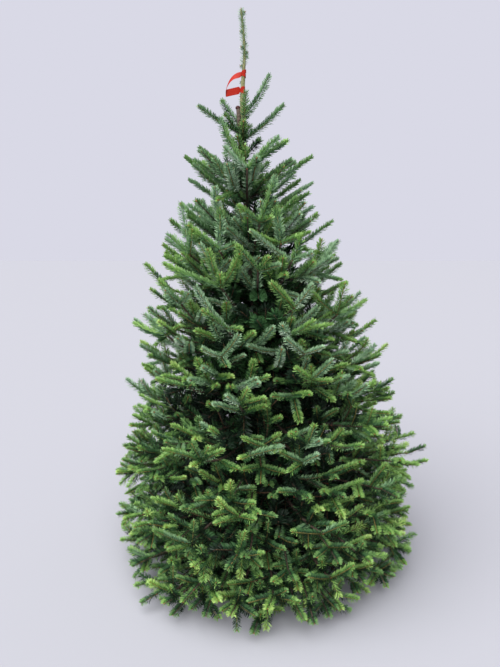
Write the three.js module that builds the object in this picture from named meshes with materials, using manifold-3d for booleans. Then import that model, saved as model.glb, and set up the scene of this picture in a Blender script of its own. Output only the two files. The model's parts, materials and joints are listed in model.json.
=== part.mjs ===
// A young fir grown for Christmas, still rooted: one leaning trunk that ends in a cut stub, a leading shoot
// trained up beside it, a ring of six single top shoots, and nine whorls of foliage masses below them.
// Millimetres, +Z up. The origin is the middle of the flat cut under the trunk, at ground level.
// +X is to the right and -Y towards the viewer. Turns are counted anticlockwise from +X, seen from above.
import * as THREE from "three";
import { mergeVertices } from "three/addons/utils/BufferGeometryUtils.js";
import Module from "manifold-3d";

const wasm = await Module();
wasm.setup();

// Trunk
const stubHeight = 2116; // top of the old stem, cut off when the new leader took over
const stubLean = -133; // how far left of the root the stub stands
const leanPower = 1.6; // the stem is upright at the ground and leans more as it rises
const rootRadius = 40;
const stubRadius = 8.5;
const flareRadius = 18; // how much wider the foot is at the ground
const flareHeight = 70;
const flareLobes = 5;

// Leading shoot
const treeHeight = 2520;
const leaderFoot = 1965; // where it leaves the old stem
const leaderFootRadius = 7.5;
const leaderTipRadius = 4.2;
const leaderRoom = 1.5; // gap kept round it by the top shoots

// Foliage
const clearance = 0.4; // gap kept round the trunk by what meets it
const sliver = 0.1; // edges shorter than this are closed up after a cut
const shootStem = 3.5; // radius of a top shoot's bare foot
const shootSleeve = 19; // from the middle of a top shoot to its needle tips
const limbSides = 8;
const barkGap = 9; // from the bark to the foliage round it
const groundGap = 6; // from the ground to the lowest needles
const sectorShare = 0.95; // of the room between two boughs, what their masses take
const depthShare = 0.47; // of the room to the next whorl, what a mass takes on that side
const innerDepth = 0.55; // thickness of a mass where it begins, as a share of its greatest
const sideDepth = 0.5; // the same at its two sides
const wander = 0.28; // how far a bough stands off its even place, as a share of the spacing
const rowStops = [0, 0.42, 0.84, 1]; // places of a mass's rows of points, from where it begins to its rim

const bark = new THREE.MeshStandardMaterial({ color: 0x5d4a3e, roughness: 0.9, metalness: 0 });
const greenStem = new THREE.MeshStandardMaterial({ color: 0x7c7a4e, roughness: 0.8, metalness: 0 });
const topNeedles = new THREE.MeshStandardMaterial({ color: 0x64806f, roughness: 0.6, metalness: 0 });
const upperNeedles = new THREE.MeshStandardMaterial({ color: 0x4a7149, roughness: 0.6, metalness: 0 });
const lowerNeedles = new THREE.MeshStandardMaterial({ color: 0x3d6a33, roughness: 0.6, metalness: 0 });

// The six shoots of the top ring: where each points, how steeply, how long, and how high its foot is
const topShoots = [
  { turn: 205, rise: 27, length: 222, foot: 2000 },
  { turn: 138, rise: 49, length: 160, foot: 2040 },
  { turn: 277, rise: 68, length: 285, foot: 1890 },
  { turn: 30, rise: 56, length: 282, foot: 2040 },
  { turn: 345, rise: 38, length: 248, foot: 1962 },
  { turn: 92, rise: 38, length: 235, foot: 1990 },
];

// The whorls under them, from the top. foot is a bough's height on the trunk and tip its height at its reach.
// valley is how far out the rim stays between two fingers of shoots, and rim how thick it is there.
const whorls = [
  { foot: 1735, tip: 1888, reach: 272, boughs: 6, turn: 28, fingers: 3, valley: 0.62, rim: 0.4 },
  { foot: 1515, tip: 1688, reach: 335, boughs: 6, turn: 355, fingers: 3, valley: 0.7, rim: 0.5 },
  { foot: 1290, tip: 1478, reach: 450, boughs: 5, turn: 24, fingers: 3, valley: 0.76, rim: 0.58 },
  { foot: 1075, tip: 1256, reach: 530, boughs: 5, turn: 0, fingers: 4, valley: 0.82, rim: 0.62 },
  { foot: 868, tip: 1030, reach: 630, boughs: 5, turn: 36, fingers: 4, valley: 0.84, rim: 0.66 },
  { foot: 670, tip: 800, reach: 715, boughs: 5, turn: 12, fingers: 4, valley: 0.86, rim: 0.68 },
  { foot: 480, tip: 570, reach: 770, boughs: 5, turn: 50, fingers: 4, valley: 0.86, rim: 0.7 },
  { foot: 305, tip: 345, reach: 800, boughs: 5, turn: 18, fingers: 4, valley: 0.88, rim: 0.72 },
  { foot: 150, tip: 128, reach: 765, boughs: 4, turn: 60, fingers: 4, valley: 0.88, rim: 0.85 },
];
const upturn = 0.3; // share of a bough's rise that it gains by bending up towards its tip
const rightward = 0.03; // how much further the crown reaches to the right than all round
const rightwardOf = { 2: -0.03, 7: 0, 8: -0.06 }; // the same for the whorls that differ, counted from 0
const rimSlope = 0.06; // how far a rim's top stands back, or the lowest rim's foot, as a share of its reach
const crownFoot = { foot: 1975, tip: 2105, reach: 220 }; // the top ring's lowest shoots, as a whorl

// Boughs whose bare wood shows between the masses: whorl and place in it, and where their mass begins
const bareBoughs = [
  { whorl: 2, place: 3, bare: 0.42 },
  { whorl: 2, place: 4, bare: 0.4 },
  { whorl: 3, place: 4, bare: 0.4 },
  { whorl: 4, place: 3, bare: 0.38 },
  { whorl: 5, place: 1, bare: 0.38 },
  { whorl: 6, place: 2, bare: 0.36 },
];

// A number from 0 to 1 that is always the same for the same pair
function uneven(a, b) {
  const wave = Math.sin(a * 127.1 + b * 311.7) * 43758.5453;
  return wave - Math.floor(wave);
}

function leanAt(z) {
  return stubLean * Math.pow(Math.max(z, 0) / stubHeight, leanPower);
}

function trunkRadius(z) {
  const taper = Math.pow(Math.max(1 - z / stubHeight, 0), 0.9);
  return stubRadius + (rootRadius - stubRadius) * taper;
}

function flareAt(z) {
  return flareRadius * Math.exp(-z / flareHeight);
}

// A point given by its distance from the stem, its turn in radians and its height
function around(radius, turn, z) {
  return new THREE.Vector3(leanAt(z) + radius * Math.cos(turn), radius * Math.sin(turn), z);
}

// Moves every vertex of a geometry and closes it, so that only positions are left
function shaped(geometry, place) {
  const flat = geometry.clone();
  flat.deleteAttribute("normal");
  flat.deleteAttribute("uv");
  const merged = mergeVertices(flat, 1e-3);
  const position = merged.getAttribute("position");
  const vertex = new THREE.Vector3();
  for (let i = 0; i < position.count; i++) {
    const moved = place(vertex.fromBufferAttribute(position, i));
    position.setXYZ(i, moved.x, moved.y, moved.z);
  }
  return merged;
}

function solid(geometry) {
  const vertProperties = new Float32Array(geometry.getAttribute("position").array);
  const triVerts = new Uint32Array(geometry.index.array);
  return new wasm.Manifold(new wasm.Mesh({ numProp: 3, vertProperties, triVerts }));
}

// The cut solid as a geometry, without the slivers that a cut leaves
function geometryOf(manifold) {
  const mesh = manifold.asOriginal().simplify(sliver).getMesh();
  const geometry = new THREE.BufferGeometry();
  geometry.setAttribute("position", new THREE.BufferAttribute(new Float32Array(mesh.vertProperties), 3));
  geometry.setIndex(new THREE.BufferAttribute(new Uint32Array(mesh.triVerts), 1));
  return geometry;
}

// The trunk, or the same shape grown all round, which cuts whatever meets it
function trunkGeometry(grow) {
  const rings = 22;
  const profile = [new THREE.Vector2(0, 0)];
  for (let i = 0; i <= rings; i++) {
    const z = stubHeight * Math.pow(i / rings, 1.25);
    profile.push(new THREE.Vector2(trunkRadius(z) + grow, z));
  }
  profile.push(new THREE.Vector2(0, stubHeight));
  const turned = new THREE.LatheGeometry(profile, 12).rotateX(Math.PI / 2);
  return shaped(turned, (v) => {
    const turn = Math.atan2(v.y, v.x);
    const ridges = 0.75 + 0.25 * Math.cos(flareLobes * turn);
    const radius = Math.hypot(v.x, v.y);
    const wide = radius > 1 ? radius + flareAt(v.z) * ridges : 0;
    return v.set(leanAt(v.z) + wide * Math.cos(turn), wide * Math.sin(turn), v.z);
  });
}

// A limb or a sleeve of needles: a round bar drawn along a curve, with its own radius all the way
function limbGeometry(curve, rings, radiusAt) {
  const bar = new THREE.CylinderGeometry(1, 1, 1, limbSides, rings).rotateX(Math.PI / 2);
  const isUpright = curve.getTangentAt(0.5).z > 0.9;
  const level = isUpright ? new THREE.Vector3(0, 1, 0) : new THREE.Vector3(0, 0, 1);
  const side = new THREE.Vector3();
  const over = new THREE.Vector3();
  return shaped(bar, (v) => {
    const along = THREE.MathUtils.clamp(v.z + 0.5, 0, 1);
    const tangent = curve.getTangentAt(along);
    side.crossVectors(tangent, level).normalize();
    over.crossVectors(tangent, side);
    const radius = radiusAt(along, Math.atan2(v.y, v.x));
    const point = curve.getPointAt(along);
    return v.copy(point.addScaledVector(side, v.x * radius).addScaledVector(over, v.y * radius));
  });
}

const trunkCutter = solid(trunkGeometry(clearance));

function cutAtTrunk(geometry) {
  return solid(geometry).subtract(trunkCutter);
}

// What is left of a piece on the far side of a cut, without the crumbs on the near side
function largestBody(manifold) {
  return manifold.decompose().sort((a, b) => b.volume() - a.volume())[0];
}

// The leader leaves the right of the old stem, stands up beside the stub and bends back to the left
function leaderCurve() {
  const start = leanAt(leaderFoot);
  return new THREE.CatmullRomCurve3([
    new THREE.Vector3(start, 0, leaderFoot),
    new THREE.Vector3(start + 14, -1, leaderFoot + 55),
    new THREE.Vector3(stubLean + 19, -2, stubHeight),
    new THREE.Vector3(stubLean + 26, -1, stubHeight + 150),
    new THREE.Vector3(stubLean + 30, 0, stubHeight + 230),
    new THREE.Vector3(stubLean + 15, 2, treeHeight),
  ]);
}

function leaderSolid(grow) {
  const radiusAt = (along) => THREE.MathUtils.lerp(leaderFootRadius, leaderTipRadius, along) + grow;
  return cutAtTrunk(limbGeometry(leaderCurve(), 14, radiusAt));
}

// A top shoot is bare for a finger's breadth at its foot and then fills out with needles to a blunt tip
function topShootSolid(shoot, index) {
  const turn = THREE.MathUtils.degToRad(shoot.turn);
  const rise = THREE.MathUtils.degToRad(shoot.rise);
  const out = new THREE.Vector3(Math.cos(turn), Math.sin(turn), 0);
  const flat = shoot.length * Math.cos(rise);
  const climb = shoot.length * Math.sin(rise);
  const foot = around(0, turn, shoot.foot);
  const middle = foot.clone().addScaledVector(out, flat * 0.55).setZ(shoot.foot + climb * 0.48);
  const tip = foot.clone().addScaledVector(out, flat).setZ(shoot.foot + climb);
  const sleeve = limbGeometry(new THREE.CatmullRomCurve3([foot, middle, tip]), 8, (along, face) => {
    const fill = THREE.MathUtils.smoothstep(along, 0.1, 0.42);
    const blunt = 1 - 0.5 * THREE.MathUtils.smoothstep(along, 0.8, 1);
    const ragged = 0.88 + 0.12 * uneven(index + Math.round(along * 9), Math.round(face * 3));
    return THREE.MathUtils.lerp(shootStem, shootSleeve, fill) * blunt * ragged;
  });
  return largestBody(cutAtTrunk(sleeve).subtract(leaderSpace));
}

// Height of a whorl's middle line at a distance from the stem
function lineHeight(whorl, radius) {
  const share = radius / whorl.reach;
  return whorl.foot + (whorl.tip - whorl.foot) * ((1 - upturn) * share + upturn * share * share);
}

function roomAbove(index, radius) {
  const above = index === 0 ? crownFoot : whorls[index - 1];
  return depthShare * (lineHeight(above, radius) - lineHeight(whorls[index], radius));
}

function roomBelow(index, radius) {
  const own = lineHeight(whorls[index], radius);
  if (index === whorls.length - 1) return own - groundGap; // the lowest one lies on the ground
  return depthShare * (own - lineHeight(whorls[index + 1], radius));
}

// Turn of a bough in its whorl, a little off even spacing. place may run one past either end of the whorl.
function boughTurn(index, place) {
  const whorl = whorls[index];
  const slot = (place + whorl.boughs) % whorl.boughs;
  const steps = place + (uneven(index + 3, slot) - 0.5) * wander;
  return THREE.MathUtils.degToRad(whorl.turn) + (2 * Math.PI * steps) / whorl.boughs;
}

function bareShare(index, place) {
  return bareBoughs.find((bough) => bough.whorl === index && bough.place === place)?.bare ?? 0;
}

// One mass: a fan of foliage from the trunk, or from the end of a bare bough, out to a rim of fingers
function massGeometry(index, place) {
  const whorl = whorls[index];
  const middle = boughTurn(index, place);
  const halfBefore = (middle - boughTurn(index, place - 1)) / 2;
  const halfAfter = (boughTurn(index, place + 1) - middle) / 2;
  const lowest = whorl.foot - roomBelow(index, 0);
  const nearBark = trunkRadius(lowest) + flareAt(lowest) + barkGap;
  const inner = Math.max(nearBark, whorl.reach * bareShare(index, place));
  const toRight = rightwardOf[index] ?? rightward;
  const swell = 0.92 + 0.12 * uneven(index * 7 + 1, place) + toRight * Math.cos(middle);
  const isLowest = index === whorls.length - 1;
  const rows = rowStops.length - 1;
  const fan = new THREE.BoxGeometry(2, rows, 2, whorl.fingers * 2, rows, 1);
  return shaped(fan, (v) => {
    const across = -v.x;
    const row = Math.round(v.y + rows / 2);
    const column = Math.round((across + 1) * whorl.fingers);
    const finger = 0.88 + 0.12 * uneven(index * 11 + place, column);
    const reach = whorl.reach * swell * finger * (column % 2 === 1 ? 1 : whorl.valley);
    const standsBack = row === rows && (isLowest ? v.z < 0 : v.z > 0);
    const outer = standsBack ? reach * (1 - rimSlope) : reach;
    const radius = THREE.MathUtils.lerp(inner, outer, rowStops[row]);
    const opening = sectorShare * (row === 0 ? 0.84 : 1);
    const turn = middle + across * opening * (across < 0 ? halfBefore : halfAfter);
    const sideways = THREE.MathUtils.lerp(1, sideDepth, across ** 4);
    const lengthwise = [innerDepth, 1, 0.94, whorl.rim][row];
    const lump = 0.86 + 0.14 * uneven(column + place * 5, index * 3 + row + v.z);
    const fullness = sideways * lengthwise * lump;
    const room = v.z > 0 ? roomAbove(index, radius) : -roomBelow(index, radius);
    return v.copy(around(radius, turn, lineHeight(whorl, radius) + room * fullness));
  });
}

// The bare wood of a bough, from the bark to where its mass begins
function boughSolid(index, place) {
  const whorl = whorls[index];
  const turn = boughTurn(index, place);
  const end = whorl.reach * bareShare(index, place) - 3;
  const foot = around(0, turn, whorl.foot - 4);
  const half = around(end * 0.5, turn, lineHeight(whorl, end * 0.5));
  const tip = around(end, turn, lineHeight(whorl, end));
  const footRadius = trunkRadius(whorl.foot) * 0.42;
  const tapering = (along) => THREE.MathUtils.lerp(footRadius, footRadius * 0.62, along);
  return cutAtTrunk(limbGeometry(new THREE.CatmullRomCurve3([foot, half, tip]), 5, tapering));
}

function addPiece(group, name, geometry, material) {
  const mesh = new THREE.Mesh(geometry, material);
  mesh.name = name;
  group.add(mesh);
}

const twoDigits = (number) => String(number).padStart(2, "0");
const leaderSpace = leaderSolid(leaderRoom);

const tree = new THREE.Group();
const stems = new THREE.Group();
const topRing = new THREE.Group();
tree.add(stems, topRing);
addPiece(stems, "trunk", trunkGeometry(0), bark);
addPiece(stems, "leader", geometryOf(leaderSolid(0)), greenStem);
topShoots.forEach((shoot, index) => {
  addPiece(topRing, `top_shoot_${index + 1}`, geometryOf(topShootSolid(shoot, index)), topNeedles);
});

whorls.forEach((whorl, index) => {
  const tier = new THREE.Group();
  const needles = index < 3 ? upperNeedles : lowerNeedles;
  for (let place = 0; place < whorl.boughs; place++) {
    const label = `${twoDigits(index + 1)}_${place + 1}`;
    addPiece(tier, `mass_${label}`, massGeometry(index, place), needles);
    if (bareShare(index, place)) addPiece(tier, `bough_${label}`, geometryOf(boughSolid(index, place)), bark);
  }
  tree.add(tier);
});

export default tree;
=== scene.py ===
# A young fir grown for Christmas, rooted where it grows: boughs, twigs and needles grown out from the trunk
# into the room that each foliage mass of the model takes, a trained leader, and a red tape tied round it.
import json
import math
import random

import bmesh
import bpy
import numpy as np
from mathutils import Matrix, Vector, noise
from mathutils.bvhtree import BVHTree

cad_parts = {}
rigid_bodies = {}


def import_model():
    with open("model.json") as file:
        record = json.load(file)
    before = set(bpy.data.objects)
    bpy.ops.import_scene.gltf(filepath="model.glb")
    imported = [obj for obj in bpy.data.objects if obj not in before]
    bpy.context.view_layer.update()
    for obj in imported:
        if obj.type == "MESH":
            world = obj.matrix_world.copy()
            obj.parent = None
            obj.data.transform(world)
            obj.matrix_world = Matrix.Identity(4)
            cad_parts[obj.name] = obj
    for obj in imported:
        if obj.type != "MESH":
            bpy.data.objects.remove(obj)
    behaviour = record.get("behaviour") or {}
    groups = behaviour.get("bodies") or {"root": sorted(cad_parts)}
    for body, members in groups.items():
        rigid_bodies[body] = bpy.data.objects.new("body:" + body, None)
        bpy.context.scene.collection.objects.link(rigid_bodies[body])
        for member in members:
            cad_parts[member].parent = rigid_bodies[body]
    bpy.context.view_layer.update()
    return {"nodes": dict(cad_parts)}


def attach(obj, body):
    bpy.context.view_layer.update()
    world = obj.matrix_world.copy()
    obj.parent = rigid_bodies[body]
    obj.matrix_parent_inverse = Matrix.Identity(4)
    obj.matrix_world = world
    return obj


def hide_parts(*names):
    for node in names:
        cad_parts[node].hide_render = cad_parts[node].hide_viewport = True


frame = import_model()
nodes = frame["nodes"]
massNames = sorted(name for name in nodes if name.startswith("mass_"))
boughNames = sorted(name for name in nodes if name.startswith("bough_"))
topShootNames = sorted(name for name in nodes if name.startswith("top_shoot_"))
worldUp = Vector((0, 0, 1))
print("frame: nodes loaded", len(nodes))


def linearColour(code):  # sRGB hex to the linear values that shaders take
    parts = [int(code[i:i + 2], 16) / 255 for i in (1, 3, 5)]
    return (*[c / 12.92 if c <= 0.04045 else ((c + 0.055) / 1.055) ** 2.4 for c in parts], 1.0)


def addNode(tree, kind, settings=None, links=None):
    node = tree.nodes.new(kind)
    for key, value in (settings or {}).items():
        if isinstance(key, int) or key in node.inputs:
            node.inputs[key].default_value = value
        else:
            setattr(node, key, value)
    for key, socket in (links or {}).items():
        tree.links.new(socket, node.inputs[key])
    return node


# Camera, light and floor
view = {
    "eye": (-0.079, -2.4, 1.55),  # standing height, square to the tree
    "tiltDown": 11,  # degrees
    "focal": 502,  # pixels of a picture 667 high
    "picture": (500, 667),
    "sensor": 36,
    "seesTo": 200,
}
studio = {
    "backdrop": "#d9d9e6",
    "ambient": 0.45,  # the light from all round, beside the backdrop's own brightness
    "floor": "#b2b2b9",  # under both lights it comes out as pale as the backdrop
    "floorSize": 60,
    "lampFrom": (-0.35, -0.55, 1.0),
    "lampSpread": 80,  # degrees of the sky that the light fills, so its shadows are soft
    "lampPower": 4.7,
}


def makeCamera():
    data = bpy.data.cameras.new("camera")
    data.sensor_width = view["sensor"]
    data.lens = view["focal"] * view["sensor"] / view["picture"][1]
    data.clip_end = view["seesTo"]
    camera = bpy.data.objects.new("camera", data)
    camera.location = view["eye"]
    camera.rotation_euler = (math.radians(90 - view["tiltDown"]), 0, 0)
    bpy.context.scene.collection.objects.link(camera)
    bpy.context.scene.camera = camera


def makeStudio():
    scene = bpy.context.scene
    scene.view_settings.view_transform = "Standard"
    world = bpy.data.worlds.new("studio")
    world.use_nodes = True
    backdrop = world.node_tree.nodes["Background"]
    backdrop.inputs["Color"].default_value = linearColour(studio["backdrop"])
    ray = addNode(world.node_tree, "ShaderNodeLightPath")
    seen = addNode(world.node_tree, "ShaderNodeMapRange", {"To Min": studio["ambient"], "To Max": 1.0},
                   {"Value": ray.outputs["Is Camera Ray"]})
    world.node_tree.links.new(seen.outputs["Result"], backdrop.inputs["Strength"])
    scene.world = world
    lamp = bpy.data.lights.new("softbox", "SUN")
    lamp.angle = math.radians(studio["lampSpread"])
    lamp.energy = studio["lampPower"]
    softbox = bpy.data.objects.new("softbox", lamp)
    softbox.rotation_euler = (-Vector(studio["lampFrom"])).to_track_quat("-Z", "Y").to_euler()
    scene.collection.objects.link(softbox)
    bm = bmesh.new()
    bmesh.ops.create_grid(bm, x_segments=1, y_segments=1, size=studio["floorSize"] / 2)
    material, _, shader = newMaterial("matt floor paint", {"Roughness": 0.9})
    shader.inputs["Base Color"].default_value = linearColour(studio["floor"])
    newPiece("floor", bm, material)


def newMaterial(name, finish):
    material = bpy.data.materials.new(name)
    material.use_nodes = True
    tree = material.node_tree
    tree.nodes.clear()
    shader = addNode(tree, "ShaderNodeBsdfPrincipled", finish)
    addNode(tree, "ShaderNodeOutputMaterial", links={"Surface": shader.outputs["BSDF"]})
    return material, tree, shader


def addPiece(name, mesh, material, smooth):
    mesh.materials.append(material)
    if smooth:
        mesh.shade_smooth()
    piece = bpy.data.objects.new(name, mesh)
    bpy.context.scene.collection.objects.link(piece)
    return piece


def newPiece(name, bm, material, smooth=False):
    mesh = bpy.data.meshes.new(name)
    bm.to_mesh(mesh)
    bm.free()
    return addPiece(name, mesh, material, smooth)


def settle(piece, slot, *replaced):
    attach(piece, "root")
    if replaced:
        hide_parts(*replaced)


makeCamera()
makeStudio()
print("studio: camera, lamp and floor")


# Reading the model: its stems' middle lines, and the room that each mass takes
reading = {
    "trunkStep": 0.002,  # corners of a stem are taken together by levels this far apart
    "leaderStep": 0.02,
    "fewest": 5,  # corners more than this make a ring
    "far": 0.5,  # of a mass's reach, outside which its corners tell its turn and its width
    "bareFrom": 0.25,  # of its reach, where a mass begins whose bough is bare up to there
    "footWithin": (1.2, 0.02),  # times its inner edge and past it, where its corners tell its foot
    "tipFrom": 0.8,
    "probe": (0.31, 0.47, 0.83),  # the way that a ray is cast to tell inside from outside
    "past": 1e-5,
}
crownTop = (2.22, 0.05)  # height and reach where the crown closes on its leader


def cornersOf(name):
    mesh = nodes[name].data
    flat = np.empty(len(mesh.vertices) * 3)
    mesh.vertices.foreach_get("co", flat)
    return np.unique(flat.reshape(-1, 3).round(5), axis=0)


def levelRings(name, step):  # middle and radius of a standing stem at each level that has corners
    points = cornersOf(name)
    levels = np.round(points[:, 2] / step)
    rings = []
    for level in np.unique(levels):
        ring = points[levels == level]
        if len(ring) > reading["fewest"]:
            middle = ring.mean(axis=0)
            rings.append((*middle, np.hypot(*(ring - middle)[:, :2].T).max()))
    return np.array(rings)


trunkRings = levelRings("trunk", reading["trunkStep"])
leaderRings = levelRings("leader", reading["leaderStep"])


def ringValue(rings, column, z):
    return float(np.interp(z, rings[:, 2], rings[:, column]))


def trunkAt(z):
    return Vector((ringValue(trunkRings, 0, z), ringValue(trunkRings, 1, z), float(z)))


def leaderAt(z):
    return Vector((ringValue(leaderRings, 0, z), ringValue(leaderRings, 1, z), z))


def trunkRadiusAt(z):
    return ringValue(trunkRings, 3, z)


def levelWay(turn, rise=0):  # straight out from the trunk at a turn round it
    return Vector((math.cos(turn), math.sin(turn), rise))


def turned(a):  # an angle brought within half a turn of zero
    return (a + math.pi) % (2 * math.pi) - math.pi


class Mass:  # the room that one foliage mass takes, and how it lies round the trunk
    def __init__(self, name):
        self.name = name
        self.tier = name.rsplit("_", 1)[0]
        points = cornersOf(name)
        middles = np.array([trunkAt(z)[:2] for z in points[:, 2]])
        away = points[:, :2] - middles
        radius = np.hypot(away[:, 0], away[:, 1])
        turns = np.arctan2(away[:, 1], away[:, 0])
        far = radius > reading["far"] * radius.max()
        self.turn = math.atan2(np.sin(turns[far]).sum(), np.cos(turns[far]).sum())
        self.half = float(np.abs(turned(turns[far] - self.turn)).max())
        self.reach = float(radius.max())
        self.inner = float(radius.min())
        self.isBare = self.inner > reading["bareFrom"] * self.reach
        times, more = reading["footWithin"]
        self.foot = float(points[radius < self.inner * times + more, 2].mean())
        self.tip = float(points[radius > reading["tipFrom"] * self.reach, 2].mean())
        mesh = nodes[name].data
        faces = [tuple(face.vertices) for face in mesh.polygons]
        self.surface = BVHTree.FromPolygons([v.co for v in mesh.vertices], faces)

    def holds(self, point, margin):
        if self.surface.find_nearest(point)[3] < margin:
            return True
        probe = Vector(reading["probe"]).normalized()
        crossings = 0
        start = point
        while True:  # a ray from inside a closed solid leaves it an odd number of times
            hit = self.surface.ray_cast(start, probe)[0]
            if hit is None:
                return crossings % 2 == 1
            crossings += 1
            start = hit + probe * reading["past"]


masses = [Mass(name) for name in massNames]
tiers = [[mass for mass in masses if mass.tier == tier] for tier in sorted({mass.tier for mass in masses})]
for tier in tiers:
    whole = [mass.foot for mass in tier if not mass.isBare]
    for mass in tier:
        mass.whorlFoot = sum(whole) / len(whole)
rimHeights = [np.mean([mass.tip for mass in tier]) for tier in reversed(tiers)] + [crownTop[0]]
rimReaches = [np.mean([mass.reach for mass in tier]) for tier in reversed(tiers)] + [crownTop[1]]
print("frame: masses read", len(masses))


# The branching rule: every year each shoot lengthens by one stretch and forks, until the room it has is full
growth = {
    "seed": 2120,
    "levels": (0.10, 0.70, 1.25, 1.60, 1.95),  # heights that the rows below belong to
    "stretch": (0.132, 0.160, 0.178, 0.205, 0.240),  # a year's growth
    "room": (0.044, 0.051, 0.048, 0.050, 0.064),  # the least between two shoot tips
    "overlap": (0.00, 0.04, 0.08, 0.13, 0.22),  # how far shoots rise past the top of their mass
    "sideChance": (0.95, 0.95, 0.95, 0.95, 0.90),
    "upChance": (0.55, 0.45, 0.50, 0.60, 0.65),
    "sag": (0.00, 0.05, 0.14, 0.18, 0.14),  # how far boughs hang before they rise again to the rim
    "aimSpread": (0.070, 0.050, 0.050, 0.045, 0.035),  # how far their tips stand above and below the whorl's
    "rise": (-0.03, 0.16, 0.34, 0.48, 0.60),  # of a bough for its reach
    "lastLess": (1.35, 1.35, 1.20, 1.05, 1.00),  # above 1, the last stretches of a bough are its shorter ones
    "downChance": (0.50, 0.45, 0.40, 0.35, 0.30),
    "climb": (0.05, 0.22, 0.42, 0.60, 0.74),  # how far shoots turn up towards the light
    "forkAngle": (44, 64),
    "steepAngle": (38, 62),
    "steepLoss": 0.8,  # upper and lower shoots of a fork are shorter than its side shoots
    "orderLoss": 0.9,
    "uprightFrom": 0.97,
    "betweenChance": 0.45,  # of a small shoot half way along a bough's stretch, on each side
    "spread": (0.80, 1.15),
    "wobble": 0.16,
    "boughWobble": 0.09,
    "sideLift": (-0.15, 0.25),
    "steepLean": 0.4,
    "betweenPlace": (0.4, 0.6),
    "betweenAhead": (0.4, 0.9),
    "betweenWobble": 0.3,
    "betweenYears": 2,
    "middlePlace": 0.55,  # of a shoot, where it takes up room beside its tip
    "middleRoom": 0.62,
    "placedMarks": (0.35, 0.7, 1),  # the same for the shoots of a placed fork
    "trims": (1, 0.85, 0.7),
    "boughGap": (0.105, 0.100, 0.088, 0.075, 0.075),  # between boughs of one mass, 6 tenths of the way out
    "fanShare": 0.96,  # of a mass's width, that its boughs take
    "rimRound": 0.06,  # how much shorter the outer boughs of a mass are, as a share
    "turnSway": 0.04,
    "tipSway": 0.02,
    "shortest": 0.96,  # of the reach that a bough of a whorl has at most
    "stagger": 0.045,  # how far by turns they leave the trunk above and below their whorl
    "staggerSpread": (0.5, 1.2),
    "aimPart": (0.1, 1),
    "forkOnStem": 0.8,  # of the rise of a bare stretch, where its boughs fork
    "lowestFoot": 0.07,
    "lowestLimb": 0.08,
    "sunk": 0.7,  # of the trunk's radius, where a bough starts inside it
    "setOff": 0.5,  # how much a bough goes straight out before it turns to its aim
    "heightWeight": 4,  # of a metre against a radian, for the mass that lies nearest
    "aimWeight": 2,
    "bendWeight": 3,
    "bareShare": 0.14,  # of a bough's reach, with few side shoots
    "bareLoss": 0.7,
    "openShare": 0.97,  # of the crown's reach, inside which shoots grow on between the masses
    "innerShare": 0.6,  # of the crown's reach, where shoots stand wider apart
    "innerRoom": 1.1,
    "proud": 0.025,  # how far a needle may stand out of its mass
    "needleRoom": 0.012,  # that needles take past a shoot's end
    "lowest": 0.03,
    "innerDepth": (0.30, 0.33, 0.42, 0.48, 0.62),  # from the rim, where sprays are in deep shade and are painted near black as shade
    "innerFill": (0.42, 0.55, 0.76, 0.78, 0.80),  # how many needles those carry, as a share
    "forkFill": 0.4,  # the same for the last stretch before a fork of the front
    "unseenShare": 0.38,  # of the crown's reach, inside which low sprays are hidden from every side
    "unseenBelow": 0.5,
    "unseenFill": 0.25,
}
# Small boughs that leave the trunk between its whorls, one every step up, each turned on from the one below
trunkShoots = {"from": 0.16, "to": 2.02, "step": 0.026, "turn": 137.5, "reach": (0.42, 0.66), "rise": 0.2,
               "footShare": 0.16, "sparseTo": 0.8, "longTo": 1.80, "longReach": (0.88, 1.0), "longRise": 0.1,
               "sway": 0.3, "cycle": 3, "longClimb": 0.6}
# How a pixel of the front becomes a place: from a depth on, where its line of sight is so far into the crown
sight = {"from": -1.0, "to": -0.06, "step": 0.002, "forkShare": 0.9, "tipShare": 1.07, "tipAhead": 0.045}
# Enlarged crops of the front: left and upper edge in pixels of the picture, and how many times enlarged
crops = {"whole": (0, 0, 1), "top": (150, 60, 7.84), "middle": (120, 230, 6.03), "foot": (110, 400, 4.9)}
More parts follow.
